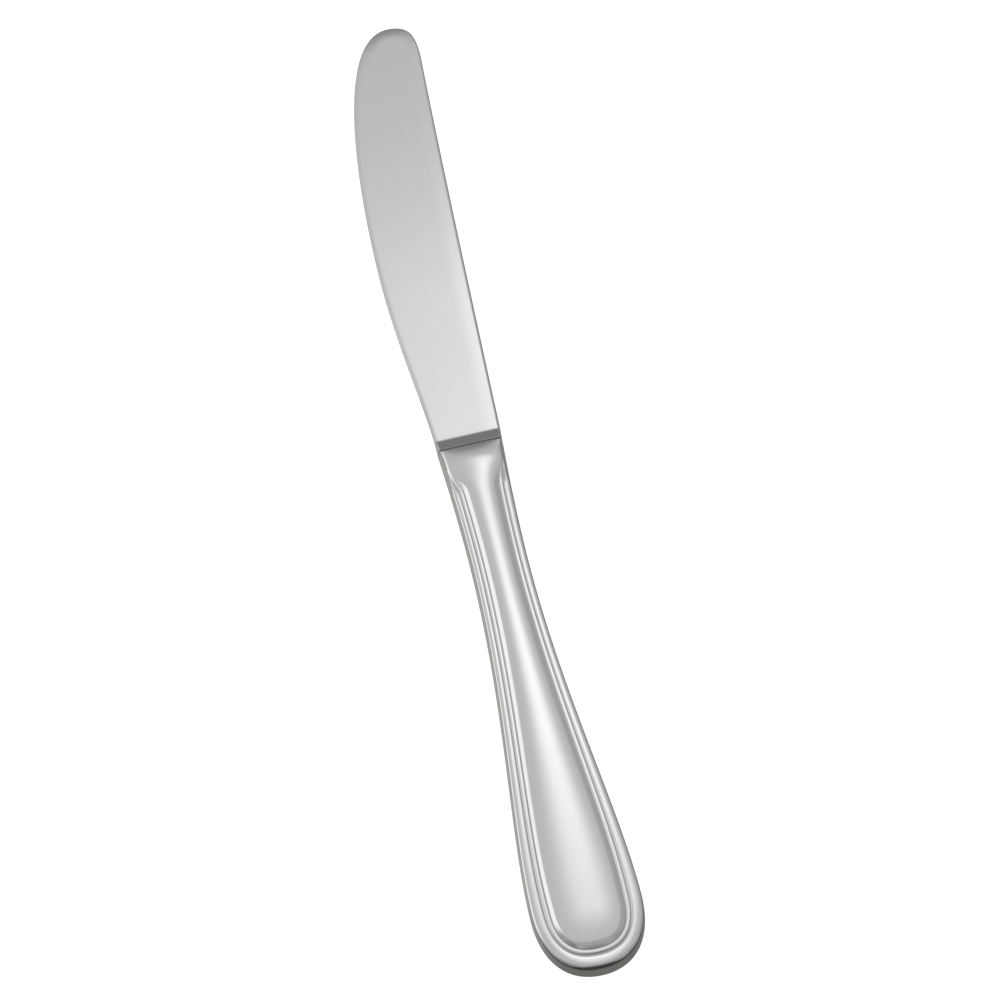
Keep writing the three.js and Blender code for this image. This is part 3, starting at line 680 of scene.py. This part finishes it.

# %% [markdown]
# ## Who moves with what
#
# The knife has no moving parts, so every piece rides on the single body. The new skins stand for the CAD
# nodes that they cover. The braze, the solder and the cement core keep their CAD solids.

# %% Ride and replace
for piece, node, slot in (
    (front_shell, "front_shell", "handle_steel"),
    (back_shell, "back_shell", "handle_steel"),
    (forging, "blade", "blade_steel"),
):
    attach(piece, "root")
    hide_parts(node)
print("new pieces:", front_shell.name, back_shell.name, forging.name)

# %% [markdown]
# ## Node helpers
#
# A material is a small network of nodes. One helper adds a node, sets its options, and fills its inputs
# with values or with links from other nodes. The others add the three kinds of nodes that come back again
# and again: a sum, a change of range and a mix of two colours.

# %% Node helpers
def add_node(tree, kind, inputs=None, **options):
    """A new node with its options set and its inputs given values or linked to other sockets."""
    node = tree.nodes.new(kind)
    for label, value in options.items():
        setattr(node, label, value)
    for label, value in (inputs or {}).items():
        if isinstance(value, bpy.types.NodeSocket):
            tree.links.new(value, node.inputs[label])
        else:
            node.inputs[label].default_value = value
    return node


def arithmetic(tree, operation, *values):
    """Output of a math node, which works on up to three numbers or sockets."""
    return add_node(tree, "ShaderNodeMath", dict(enumerate(values)), operation=operation).outputs[0]


def rescaled(tree, value, from_range, to_range, **options):
    """Output of a map range node: the value carried from one range to another, and held at its ends."""
    labels = ("From Min", "From Max", "To Min", "To Max")
    inputs = dict(zip(labels, (*from_range, *to_range)))
    return add_node(tree, "ShaderNodeMapRange", {"Value": value, **inputs}, **options).outputs[0]


def mixed_colour(tree, share, first, second):
    """Output of a colour mix node: the first colour where the share is 0, the second where it is 1."""
    inputs = {"Factor": share, 6: first, 7: second}
    return add_node(tree, "ShaderNodeMix", inputs, data_type="RGBA").outputs[2]


# %% [markdown]
# ## Marks of the wheel
#
# Steel that was ground or polished keeps fine lines in the direction of the wheel. Stretched noise gives
# such lines: it changes fast across them and slowly along them. The group puts out the lines, and a cloudy
# mask of larger spots, which stands for the light wear and the fingerprints of use. Both steels use it,
# each with its own values.

# %% Group for wheel marks
wheel_marks = bpy.data.node_groups.new("wheel marks", "ShaderNodeTree")
for label, kind in (
    ("Place", "NodeSocketVector"),
    ("Lines", "NodeSocketVector"),
    ("Cloud Scale", "NodeSocketFloat"),
):
    wheel_marks.interface.new_socket(label, in_out="INPUT", socket_type=kind)
for label in ("Line", "Cloud"):
    wheel_marks.interface.new_socket(label, in_out="OUTPUT", socket_type="NodeSocketFloat")
given = wheel_marks.nodes.new("NodeGroupInput").outputs

stretched = add_node(
    wheel_marks, "ShaderNodeVectorMath", {0: given["Place"], 1: given["Lines"]}, operation="MULTIPLY"
)
line_noise = add_node(
    wheel_marks,
    "ShaderNodeTexNoise",
    {"Vector": stretched.outputs["Vector"], "Scale": 1.0, "Detail": 4.0, "Roughness": 0.6},
)
cloud_noise = add_node(
    wheel_marks,
    "ShaderNodeTexNoise",
    {"Vector": given["Place"], "Scale": given["Cloud Scale"], "Detail": 3.0},
)
add_node(
    wheel_marks,
    "NodeGroupOutput",
    {"Line": line_noise.outputs["Fac"], "Cloud": cloud_noise.outputs["Fac"]},
)
print("group made:", wheel_marks.name)

# %% [markdown]
# ## Steels
#
# Both steels are full metals: their look comes from what they mirror. The handle is polished, so its
# roughness is low and wavers a little with the clouds; in the grooves, where a polishing wheel can't reach,
# it is duller, and its colour is darker there as painted shade. The blade has a fine satin, with lines
# along its length that also lift the surface by a trace.

# %% Steel material
MARKS_RANGE = (0.6, 1.4)  # line and cloud added up lie mostly in this range
CLOUD_TINT = 0.97  # the colour in a cloud, as a share of the clear one


def new_finish(name, metallic):
    """A material with its node tree, the sockets of its shader, and its Object coordinates."""
    material = bpy.data.materials.new(name)
    material.use_nodes = True
    tree = material.node_tree
    sockets = tree.nodes["Principled BSDF"].inputs
    sockets["Metallic"].default_value = metallic
    return material, tree, sockets, add_node(tree, "ShaderNodeTexCoord").outputs["Object"]


def link_finish(tree, sockets, colour, rough, height, relief):
    """Links colour and roughness to a shader's sockets, and a height by way of a bump of some relief."""
    bump = add_node(tree, "ShaderNodeBump", {"Height": height, "Distance": relief})
    tree.links.new(colour, sockets["Base Color"])
    tree.links.new(rough, sockets["Roughness"])
    tree.links.new(bump.outputs["Normal"], sockets["Normal"])


def steel(name, colour, dark, roughness, spread, lines, cloud_scale, relief, attribute, duller):
    """Metal with wheel marks: colour and roughness follow line, cloud and a stored attribute."""
    material, tree, sockets, place = new_finish(name, metallic=1.0)
    marks = add_node(
        tree,
        "ShaderNodeGroup",
        {"Place": place, "Lines": lines, "Cloud Scale": cloud_scale},
        node_tree=wheel_marks,
    ).outputs
    kept = add_node(tree, "ShaderNodeAttribute", attribute_name=attribute).outputs["Fac"]
    uneven = arithmetic(tree, "ADD", marks["Line"], marks["Cloud"])
    rough = rescaled(tree, uneven, MARKS_RANGE, (roughness - spread, roughness + spread))
    clouded = [CLOUD_TINT * part for part in colour]
    tint = mixed_colour(tree, marks["Cloud"], (*colour, 1), (*clouded, 1))
    link_finish(
        tree,
        sockets,
        # the stored attribute mixes in the dark colour: painted shade in the handle's grooves, lighter wear
        # on the blade's border
        colour=mixed_colour(tree, kept, tint, (*dark, 1)),
        rough=arithmetic(tree, "MULTIPLY_ADD", kept, duller, rough),
        height=marks["Line"],
        relief=relief,
    )
    return material


# %% Both steels
handle_steel = steel(
    "polished handle steel",
    colour=(0.80, 0.80, 0.80),
    # darker colour in the grooves: painted shade; the added roughness there is the grooves' real dullness
    dark=(0.62, 0.61, 0.59),
    roughness=0.085,
    spread=0.02,
    lines=(1400.0, 40.0, 1400.0),
    cloud_scale=90.0,
    relief=2e-7,
    attribute="groove",
    duller=0.05,
)
blade_steel = steel(
    "satin blade steel",
    colour=(0.80, 0.80, 0.80),
    dark=(0.84, 0.84, 0.84),
    roughness=0.12,
    spread=0.02,
    lines=(2600.0, 30.0, 2600.0),
    cloud_scale=45.0,
    relief=1.5e-7,
    attribute="edge_wear",
    duller=-0.1,
)
front_shell.data.materials.append(handle_steel)
back_shell.data.materials.append(handle_steel)
forging.data.materials.append(blade_steel)
print("steels:", handle_steel.name, "and", blade_steel.name)

# %% [markdown]
# ## Braze, solder and cement
#
# The braze shows only as a hairline along the side of the handle. The solder closes the joint behind the
# bolster and has gone dull and dark. The cement is inside the handle. New skins for them would hardly be
# seen, so these three keep their CAD solids, and each gets a mottled finish of its own.

# %% Materials of the joints
def mottled(name, light, dark, metallic, roughness, scale, relief):
    """A finish whose colour and roughness wander between two values with a fine noise, with some relief."""
    material, tree, sockets, place = new_finish(name, metallic)
    noise = add_node(tree, "ShaderNodeTexNoise", {"Vector": place, "Scale": scale, "Detail": 6.0})
    grain = noise.outputs["Fac"]
    link_finish(
        tree,
        sockets,
        colour=mixed_colour(tree, grain, (*light, 1), (*dark, 1)),
        rough=rescaled(tree, grain, (0, 1), roughness),
        height=grain,
        relief=relief,
    )
    return material


joint_finishes = {
    "seam_braze": mottled(
        "ground braze",
        light=(0.72, 0.66, 0.52),
        dark=(0.55, 0.49, 0.38),
        metallic=1.0,
        roughness=(0.2, 0.4),
        scale=900.0,
        relief=4e-6,
    ),
    "bolster_solder": mottled(
        "tarnished solder",
        light=(0.30, 0.29, 0.27),
        dark=(0.16, 0.155, 0.14),
        metallic=1.0,
        roughness=(0.4, 0.6),
        scale=1500.0,
        relief=8e-6,
    ),
    "tang_core": mottled(
        "set cement",
        light=(0.46, 0.42, 0.36),
        dark=(0.32, 0.29, 0.24),
        metallic=0.0,
        roughness=(0.85, 1.0),
        scale=700.0,
        relief=8e-5,
    ),
}
for node, finish in joint_finishes.items():
    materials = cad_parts[node].data.materials
    materials.clear()
    materials.append(finish)
print("joints finished:", sorted(joint_finishes))

# %% [markdown]
# ## Floor
#
# The knife lies on a plain white floor that is lit from below as well, as on a light table, so that only a
# trace of shadow is left. Polished metal would mirror that white everywhere and lose its form, so a
# photographer puts grey cards close to it. The floor does both: it is white to the camera, and to the
# metal it is grey on both sides and darker in front of the butt.

# %% Floor
FLOOR_SIZE = 12.0
FLOOR_CLEARANCE = 2e-5
SQUARE = np.array(((-0.5, -0.5, 0), (0.5, -0.5, 0), (0.5, 0.5, 0), (-0.5, 0.5, 0)))


def staged_square(name, size, turned_down=False):
    """A flat square of the given size, which belongs to the studio and not to the knife."""
    mesh = bpy.data.meshes.new(name)
    mesh.from_pydata(SQUARE * size, [], [(3, 2, 1, 0) if turned_down else (0, 1, 2, 3)])
    square = bpy.data.objects.new(name, mesh)
    bpy.context.scene.collection.objects.link(square)
    return square


floor = staged_square("studio_floor", FLOOR_SIZE)
floor.location.z = -FLOOR_CLEARANCE
print("floor", FLOOR_SIZE, "m wide")

# %% Paint of the floor
FLOOR_GLOW = 0.7
FLOOR_WHITE = (0.9, 0.9, 0.9, 1)
CARD_TINT = (1, 0.995, 0.94, 1)
CARD_ON_EDGE_SIDE, CARD_ON_SPINE_SIDE = 0.42, 0.25
CARD_IN_FRONT, CARD_FAR_IN_FRONT = 0.18, 0.04
CARD_SLANT, CARD_HALF_WIDTH = 0.5, 0.03  # the cards in front come forward to both sides
# Where one card turns into the next: across the knife, and along it in front of the butt
SIDE_SEAM = (-0.01, 0.01)
FRONT_SEAM = (-0.124, -0.104)
FAR_SEAM = (-0.150, -0.128)


def empty_material(name):
    """A material whose only node is its output."""
    material = bpy.data.materials.new(name)
    material.use_nodes = True
    material.node_tree.nodes.remove(material.node_tree.nodes["Principled BSDF"])
    return material, material.node_tree, material.node_tree.nodes["Material Output"].inputs["Surface"]


floor_paint, paint_tree, floor_surface = empty_material("floor paint")
floor_place = add_node(paint_tree, "ShaderNodeTexCoord").outputs["Object"]
floor_xyz = add_node(paint_tree, "ShaderNodeSeparateXYZ", {0: floor_place}).outputs
beside = rescaled(paint_tree, floor_xyz["X"], SIDE_SEAM, (CARD_ON_EDGE_SIDE, CARD_ON_SPINE_SIDE))
sideways = arithmetic(paint_tree, "ABSOLUTE", floor_xyz["X"])
on_card = arithmetic(paint_tree, "MINIMUM", sideways, CARD_HALF_WIDTH)
ahead = arithmetic(paint_tree, "MULTIPLY_ADD", on_card, -CARD_SLANT, floor_xyz["Y"])
far = rescaled(paint_tree, ahead, FAR_SEAM, (CARD_FAR_IN_FRONT, CARD_IN_FRONT))
card_light = rescaled(paint_tree, ahead, FRONT_SEAM, (far, beside))
card = add_node(paint_tree, "ShaderNodeEmission", {"Color": CARD_TINT, "Strength": card_light})
paint = add_node(paint_tree, "ShaderNodeBsdfDiffuse", {"Color": FLOOR_WHITE})
backlight = add_node(paint_tree, "ShaderNodeEmission", {"Strength": FLOOR_GLOW})
white = add_node(paint_tree, "ShaderNodeAddShader", {0: paint.outputs[0], 1: backlight.outputs[0]})
seen = add_node(paint_tree, "ShaderNodeLightPath").outputs["Is Camera Ray"]
floor_mix = add_node(
    paint_tree, "ShaderNodeMixShader", {0: seen, 1: card.outputs[0], 2: white.outputs[0]}
)
paint_tree.links.new(floor_mix.outputs[0], floor_surface)
floor.data.materials.append(floor_paint)
print("cards beside the knife:", CARD_ON_EDGE_SIDE, "and", CARD_ON_SPINE_SIDE)

# %% [markdown]
# ## Light
#
# Polished steel is a picture of its studio, so the studio is built with care. Overhead hang two soft glows,
# bright in the middle and fading to nothing: the first makes the long highlight on the crown of the handle,
# and the fainter second one, farther out, makes the slow fade along the blade. A large lamp that the metal
# doesn't mirror lights the floor. The rest is the room: a white wall on the edge side with a dim corner
# beside it, a grey wall on the spine side, and a dim room in front of the butt and behind the tip.

# %% Overhead glows
GLOW_REACH = 3.5  # half the size of a glow's square, in widths of its bell
GLOW_STRENGTH = 1.255


def overhead_glow(name, centre, turn, widths, cover):
    """A square over the knife that glows as a bell curve: exp(-d^2 / 2), with d in bell widths."""
    square = staged_square(name, 2 * GLOW_REACH, turned_down=True)
    square.location = centre
    square.rotation_euler.z = turn
    square.scale = (*widths, 1)
    square.visible_camera = False
    square.visible_diffuse = False
    square.visible_shadow = False
    material, tree, surface = empty_material(name)
    place = add_node(tree, "ShaderNodeTexCoord").outputs["Object"]
    squared = add_node(tree, "ShaderNodeVectorMath", {0: place, 1: place}, operation="DOT_PRODUCT")
    exponent = arithmetic(tree, "MULTIPLY", squared.outputs["Value"], -0.5)
    bell = arithmetic(tree, "EXPONENT", exponent)
    share = arithmetic(tree, "MULTIPLY", bell, cover)
    lamp = add_node(tree, "ShaderNodeEmission", {"Strength": GLOW_STRENGTH})
    clear = add_node(tree, "ShaderNodeBsdfTransparent")
    mix = add_node(tree, "ShaderNodeMixShader", {0: share, 1: clear.outputs[0], 2: lamp.outputs[0]})
    tree.links.new(mix.outputs[0], surface)
    square.data.materials.append(material)
    print(f"{name} hangs {centre[2]} m over the floor")


overhead_glow(
    "handle_glow", centre=(0.167, 0.332, 1.2), turn=math.radians(4.7), widths=(0.180, 0.116), cover=1.0
)
overhead_glow(
    "blade_glow", centre=(0.281, 0.516, 1.22), turn=math.radians(-8), widths=(0.140, 0.049), cover=0.9
)

# %% Floor lamp
floor_lamp = bpy.data.lights.new("floor_lamp", "AREA")
floor_lamp.shape = "SQUARE"
floor_lamp.size = 3.0
floor_lamp.energy = 26.0
floor_lamp_object = bpy.data.objects.new("floor_lamp", floor_lamp)
floor_lamp_object.location = (0, 0, 2.2)
floor_lamp_object.visible_glossy = False
bpy.context.scene.collection.objects.link(floor_lamp_object)
print("floor lamp", floor_lamp.size, "m wide")

# %% Room
ROOM, DARKEST = 0.6, 0.045
world = bpy.data.worlds.new("studio_room")
bpy.context.scene.world = world
world.use_nodes = True
room = world.node_tree
background = room.nodes["Background"]
way = add_node(room, "ShaderNodeTexCoord").outputs["Generated"]


def room_wall(facing, low, high, change):
    """Changes the light smoothly where the way looked in, dotted with a facing, goes from low to high."""
    turned = add_node(room, "ShaderNodeVectorMath", {0: way, 1: facing}, operation="DOT_PRODUCT")
    span = (low, high)
    return rescaled(room, turned.outputs["Value"], span, (0, change), interpolation_type="SMOOTHSTEP")


white_wall = room_wall(facing=(-1, 0, 0), low=0.58, high=0.80, change=0.52)
not_in_front = room_wall(facing=(0, 1, 0), low=-0.2, high=0.15, change=1.0)
room_light = arithmetic(room, "MULTIPLY_ADD", white_wall, not_in_front, ROOM)
for facing, low, high, change in (
    ((1, 0, 0), 0.35, 0.95, -0.18),  # grey wall on the spine side
    ((0, 1, 0), 0.35, 0.95, -0.34),  # dim room behind the tip
    ((0, -1, 0), 0.25, 0.75, -0.17),  # dim room in front of the butt
    ((0, -1, 0), 0.80, 0.98, -0.37),  # and its dark end
    ((-0.87, -0.50, 0), 0.70, 0.85, -0.20),  # dim corner beside the white wall
):
    room_light = arithmetic(room, "ADD", room_light, room_wall(facing, low, high, change))
room_light = arithmetic(room, "MAXIMUM", room_light, DARKEST)
to_camera = add_node(room, "ShaderNodeLightPath").outputs["Is Camera Ray"]
backdrop = add_node(
    room, "ShaderNodeMix", {"Factor": to_camera, 2: room_light, 3: 1.0}, data_type="FLOAT"
)
room.links.new(backdrop.outputs[0], background.inputs["Strength"])
background.inputs["Color"].default_value = (1, 1, 1, 1)
print("room made:", world.name)

# %% [markdown]
# ## Camera
#
# The camera looks down on the knife from the butt's side, steeply and a little from the edge's side. A long
# lens from about a metre away keeps the far tip nearly as large as the near butt. The picture is square.

# %% Camera
CAMERA_PLACE = Vector((-0.07770, -0.34573, 0.96927))
CAMERA_AIM = Vector((0.003759, -0.0042, 0.0046))
looking = CAMERA_AIM - CAMERA_PLACE
camera = bpy.data.cameras.new("camera")
camera.lens = 162.0
camera.sensor_width = 36.0
camera_object = bpy.data.objects.new("camera", camera)
camera_object.location = CAMERA_PLACE
camera_object.rotation_mode = "QUATERNION"
camera_object.rotation_quaternion = looking.to_track_quat("-Z", "Y")
bpy.context.scene.collection.objects.link(camera_object)
bpy.context.scene.camera = camera_object
bpy.context.scene.view_settings.view_transform = "Standard"
print(f"camera {looking.length:.2f} m from the knife")
